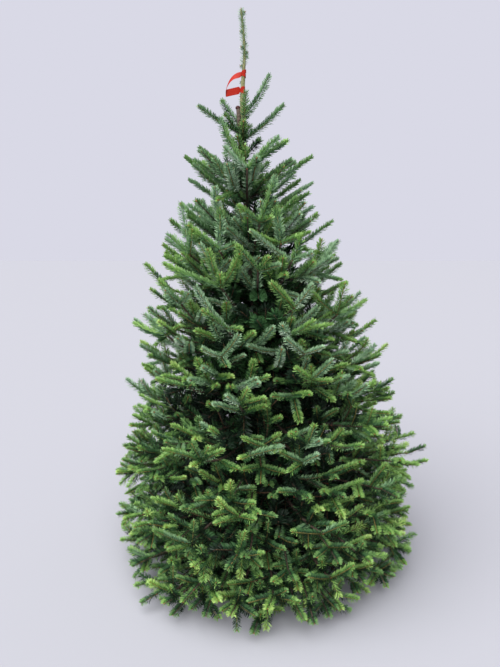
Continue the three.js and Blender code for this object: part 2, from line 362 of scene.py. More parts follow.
# The forks that stand out most at the front: a crop, the fork's spot on it, then its shoots' tips
shownForks = (
    ("whole", (247, 169), (221, 120), (225, 148), (278, 138), (286, 142)),
    ("top", (860, 1275), (700, 1155), (980, 925), (940, 1240)),
    ("top", (1030, 1440), (985, 1160), (1180, 1380), (800, 1350)),
    ("top", (545, 1500), (545, 1170), (340, 1330), (660, 1450)),
    ("top", (310, 1530), (150, 1380), (245, 1130), (330, 1350)),
    ("middle", (1035, 185), (790, 10), (1150, 145), (1090, 40)),
    ("middle", (835, 245), (705, 105), (950, 215), (895, 170)),
    ("middle", (610, 345), (480, 90), (530, 120), (600, 270), (270, 210), (720, 150)),
    ("middle", (1050, 470), (915, 325), (1155, 335)),
    ("middle", (1310, 515), (1150, 375), (1480, 425), (1355, 325)),
    ("middle", (645, 595), (500, 490), (725, 600), (460, 345)),
    ("middle", (610, 765), (500, 720), (710, 640), (640, 820)),
    ("middle", (1020, 640), (980, 580), (1270, 575), (1165, 555)),
    ("middle", (1110, 750), (1010, 665), (1220, 710)),
    ("middle", (275, 635), (150, 515), (355, 585), (90, 560)),
    ("middle", (365, 445), (235, 310), (410, 385), (275, 365)),
    ("middle", (1155, 905), (1070, 840), (1280, 790), (1265, 910)),
    ("middle", (720, 1050), (765, 965), (860, 1020), (650, 1010)),
    ("middle", (400, 945), (225, 905), (430, 935)),
    ("foot", (450, 300), (265, 245), (400, 215), (480, 235), (405, 325), (550, 250)),
    ("foot", (630, 575), (530, 490), (520, 610), (700, 590)),
    ("foot", (1045, 655), (895, 645), (1155, 610)),
    ("foot", (400, 710), (220, 640), (410, 600), (290, 740)),
    ("foot", (620, 760), (745, 755), (660, 650), (580, 830)),
    ("foot", (1085, 870), (975, 865), (1190, 815), (1120, 960)),
    ("foot", (310, 940), (195, 890), (310, 820), (340, 960)),
    ("foot", (680, 275), (845, 235), (640, 290)),
    ("foot", (945, 310), (1015, 275), (840, 260), (880, 355)),
)
# Tips that stand furthest out at the two sides and the foot, by pixel and depth, each at the end of a bough
rimTips = (
    (186, 158, 0), (199, 152, -0.08), (190, 181, 0), (210, 166, -0.12), (182, 205, 0), (311, 158, 0),
    (291, 161, -0.12), (312, 184, 0.02), (300, 191, -0.1), (317, 215, -0.03), (332, 222, 0),
    (338, 242, 0), (171, 221, 0), (166, 240, 0), (146, 265, 0), (151, 290, -0.05), (346, 283, -0.12),
    (360, 293, 0), (375, 321, 0), (387, 345, 0), (135, 320, 0), (141, 346, -0.1), (127, 380, 0),
    (392, 380, 0), (134, 416, -0.1), (130, 445, 0), (122, 540, -0.2), (136, 586, -0.485),
    (142, 603, -0.56), (173, 615, -0.63), (206, 616, -0.68), (254, 633, -0.722), (303, 619, -0.7),
    (341, 609, -0.62), (367, 592, -0.51),
)
# The lowest boughs, that lie along the ground all round
skirt = {"step": 5, "sway": 3, "reach": (0.64, 0.93), "height": (0.035, 0.13)}
# Dark hollows between the sprays, where no shoot grows and the sprays at the bottom are painted near black as
# shade: turn round the trunk, height and radius at the rim
hollows = ((280, 0.56, 0.075), (258, 0.835, 0.050), (245, 1.184, 0.050), (271, 1.275, 0.040),
           (271, 1.53, 0.030), (283, 1.055, 0.035), (291, 0.743, 0.040), (256, 0.395, 0.040),
           (38, 0.66, 0.070), (100, 0.80, 0.070), (140, 0.55, 0.070), (65, 1.12, 0.050),
           (130, 1.30, 0.050), (218, 0.92, 0.045))
# Each is a row of balls that lead inwards and down from its mouth, every one a little smaller
hollowShape = {"balls": 3, "sunk": 0.6, "downwards": 0.55, "narrowing": 0.12}


def trait(row, z):
    return float(np.interp(z, growth["levels"], growth[row]))


def crownReach(z):
    return float(np.interp(z, rimHeights, rimReaches))


def outShare(point):  # how far out a point is, as a share of the crown's reach at its height
    middle = trunkAt(point.z)
    return math.hypot(point.x - middle.x, point.y - middle.y) / crownReach(point.z)


def pixelAt(crop, x, y):  # the picture's pixel at a spot of an enlarged crop
    left, upper, times = crops[crop]
    return round(left + x / times), round(upper + y / times)


def sightPoint(px, py, depth):  # on the line of sight through a pixel, where it is that deep
    tilt = math.radians(view["tiltDown"])
    right = (px - view["picture"][0] / 2) / view["focal"]
    rise = (view["picture"][1] / 2 - py) / view["focal"]
    line = Vector((right, math.cos(tilt) + rise * math.sin(tilt), rise * math.cos(tilt) - math.sin(tilt)))
    return Vector(view["eye"]) + line * (depth - view["eye"][1]) / line.y


def intoCrown(pixel, depth, share):  # from that depth on, where the line of sight comes so far into the crown
    while depth < sight["to"] and outShare(sightPoint(*pixel, depth)) > share:
        depth += sight["step"]
    return sightPoint(*pixel, depth)


def footAt(height, out):  # where a bough starts, just inside the trunk
    return trunkAt(height) + out * trunkRadiusAt(height) * growth["sunk"]


def massNear(part, height, turn):  # the mass whose foot or tip lies nearest to a height and a turn
    weight = growth["heightWeight"]
    return min(masses, key=lambda m: abs(getattr(m, part) - height) * weight + abs(turned(m.turn - turn)))


def sway(rng, most):
    return rng.uniform(-most, most)


def randomVector(rng):
    return Vector((rng.gauss(0, 1), rng.gauss(0, 1), rng.gauss(0, 1))).normalized()


def upFrom(heading):  # the upper side of a shoot, or the front one where it stands upright
    up = worldUp if abs(heading.z) < growth["uprightFrom"] else Vector((0, -1, 0))
    return (up - heading * up.dot(heading)).normalized()


class Crowd:  # where shoots already are
    def __init__(self, cell):
        self.cell = cell
        self.points = {}

    def cellOf(self, point):
        return tuple(int(math.floor(c / self.cell)) for c in point)

    def add(self, point):
        self.points.setdefault(self.cellOf(point), []).append(point)

    def free(self, point, room):
        x, y, z = self.cellOf(point)
        for i in (x - 1, x, x + 1):
            for j in (y - 1, y, y + 1):
                for k in (z - 1, z, z + 1):
                    for other in self.points.get((i, j, k), ()):
                        if (other - point).length < room:
                            return False
        return True


def newBud(at, heading, order, years, mass, parent, vigour=1.0, aim=None, bough=None):
    return {"at": at, "heading": heading, "order": order, "years": years, "mass": mass, "parent": parent,
            "vigour": vigour, "aim": aim, "bough": bough}


def boughBud(boughs, mass, start, aim, out, kind):
    least = 1 if kind in ("small", "fork") else 2
    years = max(least, round((aim - start).length / trait("stretch", aim.z)))
    boughs.append({"mass": mass, "foot": start, "shoots": [], "kind": kind})
    heading = ((aim - start).normalized() + out * growth["setOff"]).normalized()
    return newBud(start, heading, 0, years - 1, mass, None, aim=aim, bough=len(boughs) - 1)


def firstBuds(mass, rng, boughs):
    arc = 2 * mass.half * mass.reach * growth["innerShare"]
    count = max(1, round(arc / trait("boughGap", mass.tip)))
    buds = []
    for i in range(count):
        place = (i + 0.5) / count * 2 - 1 if count > 1 else 0
        turn = mass.turn + mass.half * place * growth["fanShare"] + sway(rng, growth["turnSway"])
        out = levelWay(turn)
        reach = mass.reach * (1 - growth["rimRound"] * abs(place)) * rng.uniform(growth["shortest"], 1)
        side = 1 if i % 2 else -1
        aim = trunkAt(mass.tip + sway(rng, growth["tipSway"])) + out * reach
        if mass.isBare:
            rise = (mass.tip - mass.whorlFoot) * mass.inner / mass.reach
            start = trunkAt(mass.whorlFoot + rise * growth["forkOnStem"]) + levelWay(mass.turn) * mass.inner
        else:
            height = mass.whorlFoot + growth["stagger"] * side * rng.uniform(*growth["staggerSpread"])
            start = footAt(max(growth["lowestFoot"], height), out)
            aim.z += trait("aimSpread", mass.tip) * side * rng.uniform(*growth["aimPart"])
        buds.append(boughBud(boughs, mass, start, aim, out, "bare" if mass.isBare else "whorl"))
    return buds


def trunkBuds(rng, boughs):
    buds = []
    turn = 0
    for index, height in enumerate(np.arange(trunkShoots["from"], trunkShoots["to"], trunkShoots["step"])):
        turn += math.radians(trunkShoots["turn"]) + sway(rng, trunkShoots["sway"])
        place = index % trunkShoots["cycle"]
        if place == 1 and height < trunkShoots["sparseTo"]:
            continue
        out = levelWay(turn)
        climb = trait("climb", height)
        isLong = place == 0 and height < trunkShoots["longTo"]
        longClimb = trunkShoots["longRise"] + climb * trunkShoots["longClimb"]
        tipHeight = height + crownReach(height) * longClimb
        reach = crownReach(tipHeight) * rng.uniform(*trunkShoots["longReach" if isLong else "reach"])
        aim = trunkAt(height) + out * reach + worldUp * reach * (trunkShoots["rise"] + climb)
        if isLong:
            aim = trunkAt(tipHeight) + out * reach
        mass = massNear("foot", height, turn)
        buds.append(boughBud(boughs, mass, footAt(height, out), aim, out, "small"))
    return buds


def limbTo(aim, boughs, kind="small"):  # the first bud of a bough that ends where it is told
    reach = outShare(aim) * crownReach(aim.z)
    height = max(growth["lowestLimb"], aim.z - reach * trait("rise", aim.z))
    middle = trunkAt(aim.z)
    out = Vector((aim.x - middle.x, aim.y - middle.y, 0)).normalized()
    mass = massNear("tip", aim.z, math.atan2(out.y, out.x))
    return boughBud(boughs, mass, footAt(height, out), aim, out, kind)


def growForks(crowd, rng, boughs, shoots):  # the forks at their places, before anything else takes the room
    waiting = []
    for crop, *spots in shownForks:
        place, *tips = [pixelAt(crop, *spot) for spot in spots]
        aim = intoCrown(place, sight["from"], sight["forkShare"])
        bud = limbTo(aim, boughs, "fork")
        while bud:
            shoot = growBough(bud, crowd, rng, boughs)
            shoots.append(shoot)
            forks = forkOf(shoot, len(shoots) - 1, rng)
            bud = forks[0] if forks else None
            waiting += forks[1:]
        foot = len(shoots) - 1
        shoot["fill"] = growth["forkFill"]
        for tip in tips:
            end = intoCrown(tip, aim.y - sight["tipAhead"], sight["tipShare"])
            heading = (end - aim).normalized()
            shoots.append(newShoot(newBud(aim, heading, 1, 0, shoot["mass"], foot), end, heading, 0))
            for share in growth["placedMarks"]:
                crowd.add(aim.lerp(end, share))
    return waiting + [limbTo(sightPoint(*place), boughs) for place in rimTips]


def skirtBuds(rng, boughs):
    buds = []
    for degrees in range(0, 360, skirt["step"]):
        out = levelWay(math.radians(degrees + sway(rng, skirt["sway"])))
        height = rng.uniform(*skirt["height"])
        buds.append(limbTo(trunkAt(height) + out * crownReach(height) * rng.uniform(*skirt["reach"]), boughs))
    return buds


def hollowPlaces():
    places = []
    for degrees, height, radius in hollows:
        out = levelWay(math.radians(degrees))
        mouth = trunkAt(height) + out * (crownReach(height) - radius * hollowShape["sunk"])
        inwards = out + worldUp * (view["eye"][2] - height) * hollowShape["downwards"]
        for step in range(hollowShape["balls"]):
            places.append((mouth - inwards * radius * step, radius * (1 - hollowShape["narrowing"] * step)))
    return places


openPlaces = hollowPlaces()
hollowEnds = openPlaces[hollowShape["balls"] - 1::hollowShape["balls"]]


def hasRoom(point, mass):
    if point.z < growth["lowest"] or any((point - place).length < radius for place, radius in openPlaces):
        return False
    if outShare(point) < growth["openShare"]:
        return True
    overlap = worldUp * trait("overlap", point.z)
    return any(mass.holds(point - overlap * part, growth["proud"]) for part in (0, 0.5, 1))


def newShoot(bud, end, heading, years):
    return {"start": bud["at"], "end": end, "heading": heading, "order": bud["order"], "age": 0,
            "years": years, "mass": bud["mass"], "node": bud["mass"].name, "parent": bud["parent"],
            "bud": bud}


def growBough(bud, crowd, rng, boughs):  # one stretch of a bough, on its way to the rim
    left = bud["aim"] - bud["at"]
    heading = left.normalized()
    if bud["years"] > 0:
        aside = randomVector(rng) * growth["boughWobble"] * growth["bendWeight"]
        heading = heading * growth["aimWeight"] + bud["heading"] + aside
        heading = (heading - worldUp * trait("sag", bud["aim"].z) * growth["bendWeight"]).normalized()
    share = 1 - (bud["years"] / (bud["years"] + 1)) ** trait("lastLess", bud["aim"].z)
    shoot = newShoot(bud, bud["at"] + heading * left.length * share, heading, bud["years"])
    boughs[bud["bough"]]["shoots"].append(shoot)
    crowd.add(shoot["end"])
    return shoot


def growShoot(bud, crowd, rng):
    at = bud["at"]
    length = trait("stretch", at.z) * growth["orderLoss"] ** bud["order"] * bud["vigour"]
    heading = bud["heading"] + worldUp * trait("climb", at.z)
    heading = (heading.normalized() + randomVector(rng) * growth["wobble"]).normalized()
    length *= rng.uniform(*growth["spread"])
    room = trait("room", at.z)
    if outShare(at) < growth["innerShare"]:
        room *= growth["innerRoom"]
    for trim in growth["trims"]:
        end = at + heading * length * trim
        if not hasRoom(end + heading * growth["needleRoom"], bud["mass"]):
            continue
        middle = at.lerp(end, growth["middlePlace"])
        if crowd.free(end, room) and crowd.free(middle, room * growth["middleRoom"]):
            crowd.add(end)
            crowd.add(middle)
            return newShoot(bud, end, heading, bud["years"] if trim == 1 else 0)
    return None


def forkOf(shoot, index, rng):
    if shoot["years"] == 0:
        return []
    end, heading, bud = shoot["end"], shoot["heading"], shoot["bud"]
    order, years, mass = shoot["order"], shoot["years"] - 1, shoot["mass"]
    share = growth["bareLoss"] if outShare(end) < growth["bareShare"] else 1
    up = upFrom(heading)
    side = heading.cross(up)
    buds = [newBud(end, heading, order, years, mass, index, bud["vigour"], bud["aim"], bud["bough"])]

    def fork(at, way, more, vigour):
        buds.append(newBud(at, way.normalized(), order + 1, more, mass, index, vigour))

    for sign in (-1, 1):
        if rng.random() < trait("sideChance", end.z) * share:
            angle = math.radians(rng.uniform(*growth["forkAngle"]))
            lift = up * rng.uniform(*growth["sideLift"])
            away = heading * math.cos(angle) + side * sign * math.sin(angle) + lift
            fork(end, away, years, 1.0)
    for sign, row in ((1, "upChance"), (-1, "downChance")):
        if rng.random() < trait(row, end.z) * share:
            angle = math.radians(rng.uniform(*growth["steepAngle"]))
            lean = side * sway(rng, growth["steepLean"])
            away = heading * math.cos(angle) + up * sign * math.sin(angle) + lean
            fork(end, away, years, growth["steepLoss"])
    if order == 0:
        between = shoot["start"].lerp(end, rng.uniform(*growth["betweenPlace"]))
        fewer = min(years, growth["betweenYears"])
        for way in (side, -side, up, -up):
            if rng.random() < growth["betweenChance"]:
                ahead = heading * rng.uniform(*growth["betweenAhead"])
                away = ahead + way + randomVector(rng) * growth["betweenWobble"]
                fork(between, away, fewer, growth["steepLoss"])
    return buds


def growCrown():
    rng = random.Random(growth["seed"])
    crowd = Crowd(max(growth["room"]) * growth["innerRoom"])
    boughs = []
    shoots = []
    buds = []
    for mass in masses:
        buds += firstBuds(mass, rng, boughs)
    buds += trunkBuds(rng, boughs)
    buds += growForks(crowd, rng, boughs, shoots) + skirtBuds(rng, boughs)
    while buds:
        waiting = buds
        buds = []
        rng.shuffle(waiting)
        waiting.sort(key=lambda bud: bud["order"])
        for bud in waiting:
            if bud["aim"]:
                shoot = growBough(bud, crowd, rng, boughs)
            else:
                shoot = growShoot(bud, crowd, rng)
            if shoot:
                shoots.append(shoot)
                buds += forkOf(shoot, len(shoots) - 1, rng)
    for shoot in reversed(shoots):  # a shoot is a year older than the oldest one it bears
        if shoot["parent"] is not None:
            parent = shoots[shoot["parent"]]
            parent["age"] = max(parent["age"], shoot["age"] + 1)
    return shoots, boughs


shoots, boughs = growCrown()
print("growth: shoots", len(shoots), "of this year", sum(shoot["age"] == 0 for shoot in shoots))


# Needles: flat blades with a blunt tip, set round each shoot in a spiral and combed to its sides
needles = {
    "seed": 405,
    "length": 0.0270,
    "width": 0.0047,
    "turn": 137.5,  # degrees from one needle to the next
    "perMetre": (1150, 700, 420, 240, 120, 0),  # by the age of the shoot in years
    "sizeByHeight": (0.86, 0.89, 0.96, 1.0, 1.02),  # at the heights of the branching rule
    # needles in painted shade are drawn this much larger, so that their near black closes the crown's inside
    "innerSize": 1.6,
    "sizeSpread": (0.92, 1.08),  # from shoot to shoot
    "lengthSpread": (0.92, 1.07),  # from needle to needle
    "foot": (0.76, 0.24, 0.18),  # length of the first ones, how much they gain, and up to where on the shoot
    "placeSpread": (0.1, 0.9),
    "stem": (0.0011, 0.0006),  # the shoot's radius under its needles, and more for each year
    "sunk": 0.6,
    "steep": (0.45, 0.85),  # a shoot's rise, over which its needles come to stand all round it
    "parting": 25,  # degrees left open along the top of a level shoot
    "levelSpan": 118,  # how far round from the top the needles go on a level shoot
    "standOff": 63,  # degrees between needle and shoot
    "tipStandOff": 42,
    "tipLoss": 0.3,
    "tipFrom": 0.8,
    "oldClosing": 0.15,  # how far needles close round the tip of a shoot that goes on in others
    "topLess": 14,  # degrees that the upper ones lie flatter
    "angleSpread": 4,
    "faceUp": 0.55,
    "faceAlong": 0.85,
    "twist": 30,
    "blunt": 0.55,  # of its width, at the tip
    "curl": 0.07,
    "highlightFrom": 0.45,  # of a needle's length, where its paler outer part, a painted highlight, begins
    "tipTintFrom": (0.55, 0.85),  # of a shoot, where the tint of its tip begins
    "underFrom": 0.3,
    "pieceLimit": 64000,  # needles in one piece, 3 triangles each
}
# A waxed, faintly glossy leaf. Plain colours, dealt out by spray: silver and blue where the pale undersides
# show above eye level, yellow green at the young tips, near black inside the crown as painted shade. Each
# tint's tip colour, on the outer part of every needle, is a painted highlight
needleTints = {
    "silver": {"colour": "#7b9a82", "tip": "#b8ceb3", "slot": "needles_top"},
    "frost": {"colour": "#5a8165", "tip": "#99bc92", "slot": "needles_top"},
    "blue_green": {"colour": "#42694c", "tip": "#84aa7a", "slot": "needles_upper"},
    "deep": {"colour": "#274a2e", "tip": "#466f42", "slot": "needles_upper"},
    "middle": {"colour": "#3b6b3a", "tip": "#79a25e", "slot": "needles_lower"},
    "fresh": {"colour": "#55873f", "tip": "#90b965", "slot": "needles_lower"},
    "bright": {"colour": "#7aa84b", "tip": "#b6d67c", "slot": "needles_lower"},
    "shade": {"colour": "#122116", "tip": "#1c3120", "slot": "needles_lower"},
}
tintNames = list(needleTints)
# Each kind of spray: its share, then the tints of its upper needles, its under needles and its tip. Painted
# shade: the dark under needles low down, the darker sprays of the foot, and the second, inner and high_inner
# sprays deep in the crown
sprays = {
    "top": ((0.34, "blue_green", "frost", "middle"), (0.28, "middle", "blue_green", "blue_green"),
            (0.14, "frost", "silver", "frost"), (0.24, "middle", "deep", "fresh")),
    "upper": ((0.24, "middle", "blue_green", "fresh"), (0.28, "blue_green", "frost", "frost"),
              (0.13, "deep", "middle", "fresh"), (0.19, "fresh", "middle", "fresh"),
              (0.16, "frost", "silver", "frost")),
    # dark under needles below lighter upper ones: painted shade on the shoots' lower side
    "lower": ((0.24, "middle", "deep", "fresh"), (0.20, "fresh", "deep", "fresh"),
              (0.12, "fresh", "deep", "bright"), (0.20, "deep", "shade", "middle"),
              (0.12, "deep", "shade", "fresh"), (0.12, "blue_green", "deep", "middle")),
    # darker near the ground: painted shade
    "foot": ((0.48, "deep", "shade", "middle"), (0.18, "middle", "shade", "fresh"),
             (0.20, "deep", "shade", "fresh"), (0.14, "fresh", "shade", "bright")),
    # sprays behind the outer ones and deep in the crown, darker with depth: painted shade
    "second": ((0.35, "deep", "shade", "middle"), (0.40, "middle", "deep", "middle"),
               (0.25, "blue_green", "deep", "middle")),
    "inner": ((0.5, "deep", "shade", "shade"), (0.5, "shade", "shade", "shade")),
    "high_inner": ((0.6, "deep", "deep", "shade"), (0.4, "deep", "deep", "deep")),
    "ring": ((0.5, "blue_green", "deep", "middle"), (0.5, "deep", "blue_green", "blue_green")),
    "leader": ((0.5, "blue_green", "frost", "frost"), (0.5, "frost", "blue_green", "silver")),
}
# Heights where the kinds of spray change; below footTo they are darker as painted shade, and sprays this near
# a hollow's bottom (hollowWall) are painted near black as shade
zones = {"footTo": 0.26, "lowerTo": 0.95, "upperTo": 1.55, "blur": 0.16, "secondShare": 0.68, "innerTo": 1.75,
         "hollowWall": 0.05}


def isShaded(shoot):  # deep inside the crown, at the bottom of a hollow, or behind younger sprays: these get painted shade, near black needles and the old twigs' dark bark
    end = shoot["end"]
    if any((end - place).length < radius + zones["hollowWall"] for place, radius in hollowEnds):
        return True
    return 1 - outShare(end) > trait("innerDepth", end.z) or shoot["age"] > 1 and end.z < zones["innerTo"]


def sprayOf(shoot, rng):
    end = shoot["end"]
    height = end.z + rng.gauss(0, zones["blur"])
    if "spray" in shoot:
        kind = shoot["spray"]
    elif isShaded(shoot):
        kind = "inner" if end.z < zones["lowerTo"] else "high_inner"
    elif 1 - outShare(end) > trait("innerDepth", end.z) * zones["secondShare"]:
        kind = "second"
    else:
        kind = "lower" if height < zones["lowerTo"] else "upper" if height < zones["upperTo"] else "top"
        kind = "foot" if height < zones["footTo"] else kind
    choices = sprays[kind]
    chosen = rng.choices(choices, [choice[0] for choice in choices])[0]
    return [tintNames.index(tint) for tint in chosen[1:]], kind.endswith("inner")


def smoothStep(low, high, x):
    t = np.clip((x - low) / (high - low), 0, 1)
    return t * t * (3 - 2 * t)


def unit(v):
    return v / np.linalg.norm(v, axis=-1, keepdims=True)


def column(shoots, key):
    return np.array([shoot[key] for shoot in shoots])


def dot(a, b):
    return (a * b).sum(axis=-1, keepdims=True)


def shootTable(shoots, rng):
    rows = []
    for shoot in shoots:
        start, end = shoot["start"], shoot["end"]
        length = (end - start).length
        heading = (end - start) / length
        up = upFrom(heading)
        steep = float(smoothStep(*needles["steep"], abs(heading.z)))
        density = needles["perMetre"][min(shoot["age"], len(needles["perMetre"]) - 1)]
        tints, isInner = sprayOf(shoot, rng)
        fill = shoot.get("fill", trait("innerFill", end.z) if isInner else 1)
        if end.z < growth["unseenBelow"] and outShare(end) < growth["unseenShare"]:
            fill = growth["unseenFill"]
        size = shoot.get("size", float(np.interp(end.z, growth["levels"], needles["sizeByHeight"])))
        # sprays in painted shade carry larger needles, so their near black closes the crown's inside
        size *= needles["innerSize"] if isInner else 1
        rows.append({
            "start": start, "end": end, "up": up, "bend": shoot["bend"],
            "count": int(length * density * fill),
            "parting": needles["parting"] * (1 - steep),
            "span": needles["levelSpan"] + (180 - needles["levelSpan"]) * steep,
            "stem": shoot.get("stem", needles["stem"][0] + needles["stem"][1] * shoot["age"]),
            "closing": shoot.get("closing", 1.0 if shoot["age"] == 0 else needles["oldClosing"]),
            "size": size * rng.uniform(*needles["sizeSpread"]),
            "tints": tints,
            "phase": rng.uniform(0, 360),
            "tipFrom": rng.uniform(*needles["tipTintFrom"]),
        })
    return {key: column(rows, key) for key in rows[0]}


def layNeedles(table):
    rng = np.random.default_rng(needles["seed"])
    s = np.repeat(np.arange(len(table["count"])), table["count"])
    firsts = np.cumsum(table["count"]) - table["count"]
    k = np.arange(len(s)) - firsts[s]

    def of(key):  # what each needle has from its shoot
        return table[key][s]

    def scattered(spread):
        return rng.normal(0, spread, len(s))

    t = (k + rng.uniform(*needles["placeSpread"], len(s))) / of("count")
    t1 = t[:, None]
    run = of("end") - of("start")
    bend = of("bend")
    middle = of("start") + run * t1 + bend * 4 * t1 * (1 - t1)
    along = unit(run + bend * 4 * (1 - 2 * t1))
    up = of("up")
    up = unit(up - along * dot(up, along))
    side = np.cross(along, up)
    around = (k * needles["turn"] + of("phase")) % 360 - 180
    parting = of("parting")
    around = np.sign(around) * (parting + (of("span") - parting) * np.abs(around) / 180)
    around = np.radians(around + scattered(needles["angleSpread"]))
    radial = up * np.cos(around)[:, None] + side * np.sin(around)[:, None]
    closing = smoothStep(needles["tipFrom"], 1, t) * of("closing")
    stand = needles["standOff"] - needles["topLess"] * np.clip(np.cos(around), 0, 1)
    stand = stand + scattered(needles["angleSpread"])
    stand = np.radians(stand + (needles["tipStandOff"] - stand) * closing)[:, None]
    out = along * np.cos(stand) + radial * np.sin(stand)
    first, gain, gainTo = needles["foot"]
    length = needles["length"] * of("size") * (first + gain * smoothStep(0, gainTo, t))
    length = length * (1 - needles["tipLoss"] * closing)
    length = (length * rng.uniform(*needles["lengthSpread"], len(s)))[:, None]
    face = up * needles["faceUp"] + along * needles["faceAlong"]
    face = unit(face - out * dot(face, out))
    twist = np.radians(scattered(needles["twist"]))[:, None]
    face = face * np.cos(twist) + np.cross(out, face) * np.sin(twist)
    half = np.cross(out, face) * needles["width"] / 2 * of("size")[:, None]
    base = middle + radial * of("stem")[:, None] * needles["sunk"]
    # from the shoulder out, a needle takes its tint's paler tip colour: a painted highlight
    shoulder = base + out * length * needles["highlightFrom"]
    tip = base + out * length + face * length * needles["curl"]
    end = half * needles["blunt"]
    blades = np.stack([base, shoulder - half, shoulder + half, tip - end, tip + end], axis=1)
    # needles on a shoot's underside take its under tint: the pale needle undersides in the upper sprays,
    # painted shade in the lower ones; its end takes the tip tint
    part = np.where(t > of("tipFrom"), 2, np.where(np.cos(around) > needles["underFrom"], 0, 1))
    return blades, table["tints"][s, part], s


def pieceFromArrays(name, points, corners, sizes, material, smooth=False):
    mesh = bpy.data.meshes.new(name)
    mesh.vertices.add(len(points))
    mesh.vertices.foreach_set("co", points.astype(np.float32).ravel())
    mesh.loops.add(len(corners))
    mesh.loops.foreach_set("vertex_index", corners.astype(np.int32))
    mesh.polygons.add(len(sizes))
    mesh.polygons.foreach_set("loop_start", (np.cumsum(sizes) - sizes).astype(np.int32))
    mesh.update(calc_edges=True)
    return addPiece(name, mesh, material, smooth)


def repeated(pattern, copies, step):  # one copy's corner numbers, for many copies of step points each
    return (np.array(pattern)[None, :] + np.arange(copies)[:, None] * step).ravel()


def makeNeedles(shoots, rng):
    blades, tints, owners = layNeedles(shootTable(shoots, rng))
    for index, (tint, finish) in enumerate(needleTints.items()):
        leaf = {"Roughness": 0.48, "Specular IOR Level": 0.35}
        named = "fir needle " + tint.replace("_", " ")
        material = newMaterial(named, {"Base Color": linearColour(finish["colour"]), **leaf})[0]
        # the paler colour of every needle's outer part: a painted highlight
        tip = newMaterial(named + " tip", {"Base Color": linearColour(finish["tip"]), **leaf})[0]
        mine = np.flatnonzero(tints == index)
        parts = max(1, math.ceil(len(mine) / needles["pieceLimit"]))
        for part, chosen in enumerate(np.array_split(mine, parts)):
            blade = repeated((0, 2, 1, 1, 2, 4, 3), len(chosen), 5)
            name = f"needles_{tint}_{part + 1}"
            points = blades[chosen].reshape(-1, 3)
            piece = pieceFromArrays(name, points, blade, np.tile((3, 4), len(chosen)), material)
            piece.data.materials.append(tip)
            piece.data.polygons.foreach_set("material_index", np.tile((0, 1), len(chosen)).astype(np.int32))
            stood = {shoots[i]["node"] for i in np.unique(owners[chosen])}
            settle(piece, finish["slot"], *sorted(stood))
    print("needles:", len(blades))


# Twigs, the red knuckles where they fork, and the buds that close them
twigs = {"tipRadius": 0.0016, "ageRadius": 0.0007, "sides": 5, "footAge": 0.6, "bend": (-0.06, 0.02),
         "uprightFrom": 0.9}
budShape = {"radius": 0.0021, "length": 0.0068, "lean": 38, "side": 0.75, "spread": (0.8, 1.2),
            "larger": ((0.5, 1.5), (1.0, 1.5))}
knuckle = {"radius": 0.0036, "oldest": 3, "spread": (0.8, 1.1), "perYear": 0.16}


def barkMaterial(name, dark, light, roughness, squeeze, blotch, blister, depth):
    material, tree, shader = newMaterial(name, {"Roughness": roughness, "Specular IOR Level": 0.25})
    place = addNode(tree, "ShaderNodeTexCoord")
    flat = addNode(tree, "ShaderNodeMapping", {"Scale": (1, 1, squeeze)}, {"Vector": place.outputs["Object"]})
    spots = addNode(tree, "ShaderNodeTexNoise", {"Scale": 1 / blotch, "Detail": 4, "Roughness": 0.65},
                    {"Vector": flat.outputs["Vector"]})
    share = addNode(tree, "ShaderNodeMapRange", {"From Min": 0.36, "From Max": 0.64},
                    {"Value": spots.outputs["Fac"]})
    tones = {"data_type": "RGBA", 6: linearColour(dark), 7: linearColour(light)}
    tone = addNode(tree, "ShaderNodeMix", tones, {0: share.outputs["Result"]})
    cells = addNode(tree, "ShaderNodeTexVoronoi", {"Scale": 1 / blister}, {"Vector": flat.outputs["Vector"]})
    bump = addNode(tree, "ShaderNodeBump", {"Strength": 0.7, "Distance": depth, "invert": True},
                   {"Height": cells.outputs["Distance"]})
    tree.links.new(tone.outputs[2], shader.inputs["Base Color"])
    tree.links.new(bump.outputs["Normal"], shader.inputs["Normal"])
    return material


# Barks: dark and light tone, roughness, how flat their marks are, then in metres the size of their blotches,
# the size of their blisters and how far those stand out
barkRows = {
    # Thin corky skin of a young fir stem: grey brown, with raised resin blisters and level pores
    "fir bark grey": ("#3d322c", "#7b6c60", 0.88, 2.4, 0.022, 0.009, 0.0016),
    # The same skin a few years younger, redder and finer
    "fir bark reddish": ("#3b302b", "#6d5c51", 0.85, 1, 0.012, 0.005, 0.0008),
    # Last years' twigs, dull and slightly grooved; this year's twigs deep in the crown take it too, as
    # painted shade
    "twig bark brown": ("#4b3a2c", "#7b6048", 0.8, 1, 0.006, 0.0022, 0.0003),
    # This year's shoots, smooth and still olive with a little orange down
    "twig bark olive": ("#75683a", "#a08f52", 0.7, 1, 0.008, 0.002, 0.0002),
    # Old bud scales round each fork, dry and red
    "bud scale red": ("#62382a", "#945c42", 0.75, 1, 0.003, 0.0015, 0.0003),
    # Callus that closed over the old cut, purple brown and dull
    "healed stub callus": ("#3a2526", "#6b4744", 0.8, 1, 0.006, 0.004, 0.0008),
    # Winter buds closed by resin, orange and slightly glossy
    "bud resin orange": ("#75542f", "#ab834c", 0.42, 1, 0.003, 0.0015, 0.0003),
    # The leader's green skin, which still works as a leaf does
    "leader skin green": ("#6c7048", "#a09d70", 0.7, 0.5, 0.012, 0.003, 0.0003),
}
barks = {name: barkMaterial(name, *row) for name, row in barkRows.items()}


def twigRadius(age):
    return twigs["tipRadius"] + twigs["ageRadius"] * age


